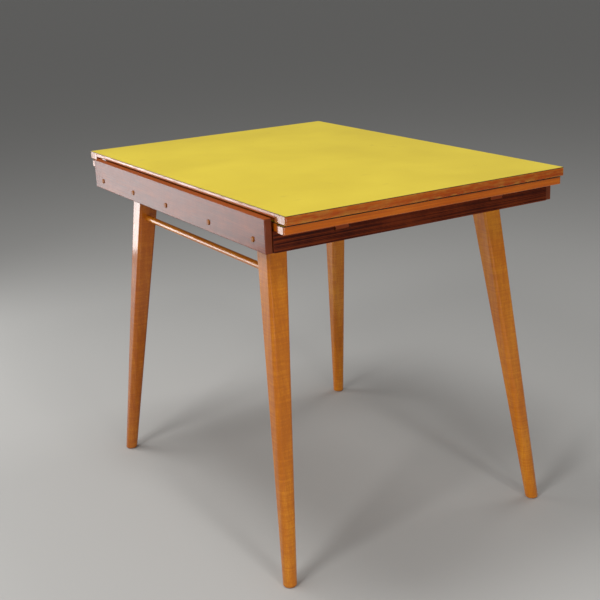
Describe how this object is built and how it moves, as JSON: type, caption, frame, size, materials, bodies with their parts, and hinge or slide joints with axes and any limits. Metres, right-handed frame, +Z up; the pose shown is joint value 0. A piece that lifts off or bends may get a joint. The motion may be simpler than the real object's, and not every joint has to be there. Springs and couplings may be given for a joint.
{
  "type": "draw-leaf dining table",
  "caption": "Rectangular draw-leaf dining table with a floating laminated top, sliding leaves on runners, a notched rail frame and splayed tapering legs.",
  "frame": {"origin": "on the floor under the middle of the top", "axes": "+Z up, +Y along the long way of the top, towards the rear leaf; +X along the short way, towards the right-hand rail"},
  "size_m": [0.684, 0.926, 0.76],
  "materials": {
    "laminate": "satin yellow decorative laminate",
    "lipping": "lacquered orange-brown hardwood",
    "leg_wood": "glossy lacquered honey hardwood",
    "rail_wood": "lacquered dark red-brown hardwood",
    "carcass_wood": "plain planed hardwood",
    "core_board": "veneered blockboard",
    "peg": "turned dowel",
    "steel": "plain steel"
  },
  "bodies": {
    "frame": {"side_rail_left": "rail_wood", "side_rail_right": "rail_wood", "apron_front": "rail_wood", "apron_rear": "rail_wood", "centre_cross_rail": "carcass_wood", "centre_board": "carcass_wood", "leg_block_front_left": "carcass_wood", "leg_block_front_right": "carcass_wood", "leg_block_rear_left": "carcass_wood", "leg_block_rear_right": "carcass_wood", "leg_front_left": "leg_wood", "leg_front_right": "leg_wood", "leg_rear_left": "leg_wood", "leg_rear_right": "leg_wood", "leg_screw_front_left": "steel", "leg_screw_front_right": "steel", "leg_screw_rear_left": "steel", "leg_screw_rear_right": "steel", "stretcher_rod": "leg_wood", "rail_dowel_left_1": "peg", "rail_dowel_left_2": "peg", "rail_dowel_left_3": "peg", "rail_dowel_left_4": "peg", "rail_dowel_left_5": "peg", "rail_dowel_right_1": "peg", "rail_dowel_right_2": "peg", "rail_dowel_right_3": "peg", "rail_dowel_right_4": "peg", "rail_dowel_right_5": "peg"},
    "top": {"top_laminate": "laminate", "top_core": "core_board", "top_lipping_front": "lipping", "top_lipping_rear": "lipping", "top_lipping_left": "lipping", "top_lipping_right": "lipping", "guide_peg_left": "peg", "guide_peg_right": "peg"},
    "front_leaf": {"front_leaf_laminate": "laminate", "front_leaf_panel": "core_board", "front_leaf_lipping": "lipping", "front_leaf_lipping_left": "lipping", "front_leaf_lipping_right": "lipping", "front_runner_left": "carcass_wood", "front_runner_right": "carcass_wood", "front_stop_peg_left": "peg", "front_stop_peg_right": "peg"},
    "rear_leaf": {"rear_leaf_laminate": "laminate", "rear_leaf_panel": "core_board", "rear_leaf_lipping": "lipping", "rear_leaf_lipping_left": "lipping", "rear_leaf_lipping_right": "lipping", "rear_runner_left": "carcass_wood", "rear_runner_right": "carcass_wood", "rear_stop_peg_left": "peg", "rear_stop_peg_right": "peg"}
  },
  "joints": [
    {"name": "front_leaf_slide", "type": "slide", "parent": "frame", "child": "front_leaf", "axis": [0, -1, 0], "range_m": [0, 0.312]},
    {"name": "rear_leaf_slide", "type": "slide", "parent": "frame", "child": "rear_leaf", "axis": [0, 1, 0], "range_m": [0, 0.312]},
    {"name": "top_lift", "type": "slide", "parent": "frame", "child": "top", "axis": [0, 0, 1], "range_m": [0, 0.022]}
  ]
}
